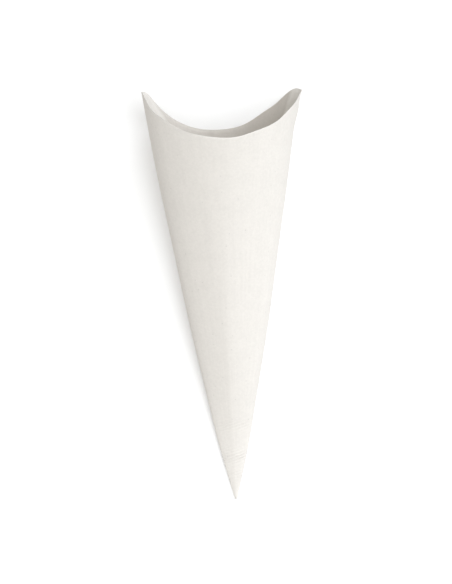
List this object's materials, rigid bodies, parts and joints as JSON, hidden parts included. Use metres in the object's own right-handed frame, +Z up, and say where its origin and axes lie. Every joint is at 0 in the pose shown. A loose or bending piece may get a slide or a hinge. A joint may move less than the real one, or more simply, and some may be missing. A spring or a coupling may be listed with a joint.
{
  "type": "paper cone bag",
  "caption": "Thin white paper cone bag with a crescent-cut mouth, opened and lying on its glued back seam, for holding snacks, sweets or dry goods.",
  "frame": {"origin": "bottom centre of the bag's box as it lies, on the surface it rests on", "axes": "+Y from the tip to the mouth, +Z up from the surface, +X to the right seen from above with the mouth away from the viewer"},
  "size_m": [0.1097, 0.2916, 0.0895],
  "materials": {
    "paper": "matt uncoated white paper with a faint fibre mottle"
  },
  "bodies": {
    "root": {"cone_bag": "paper"}
  },
  "joints": []
}
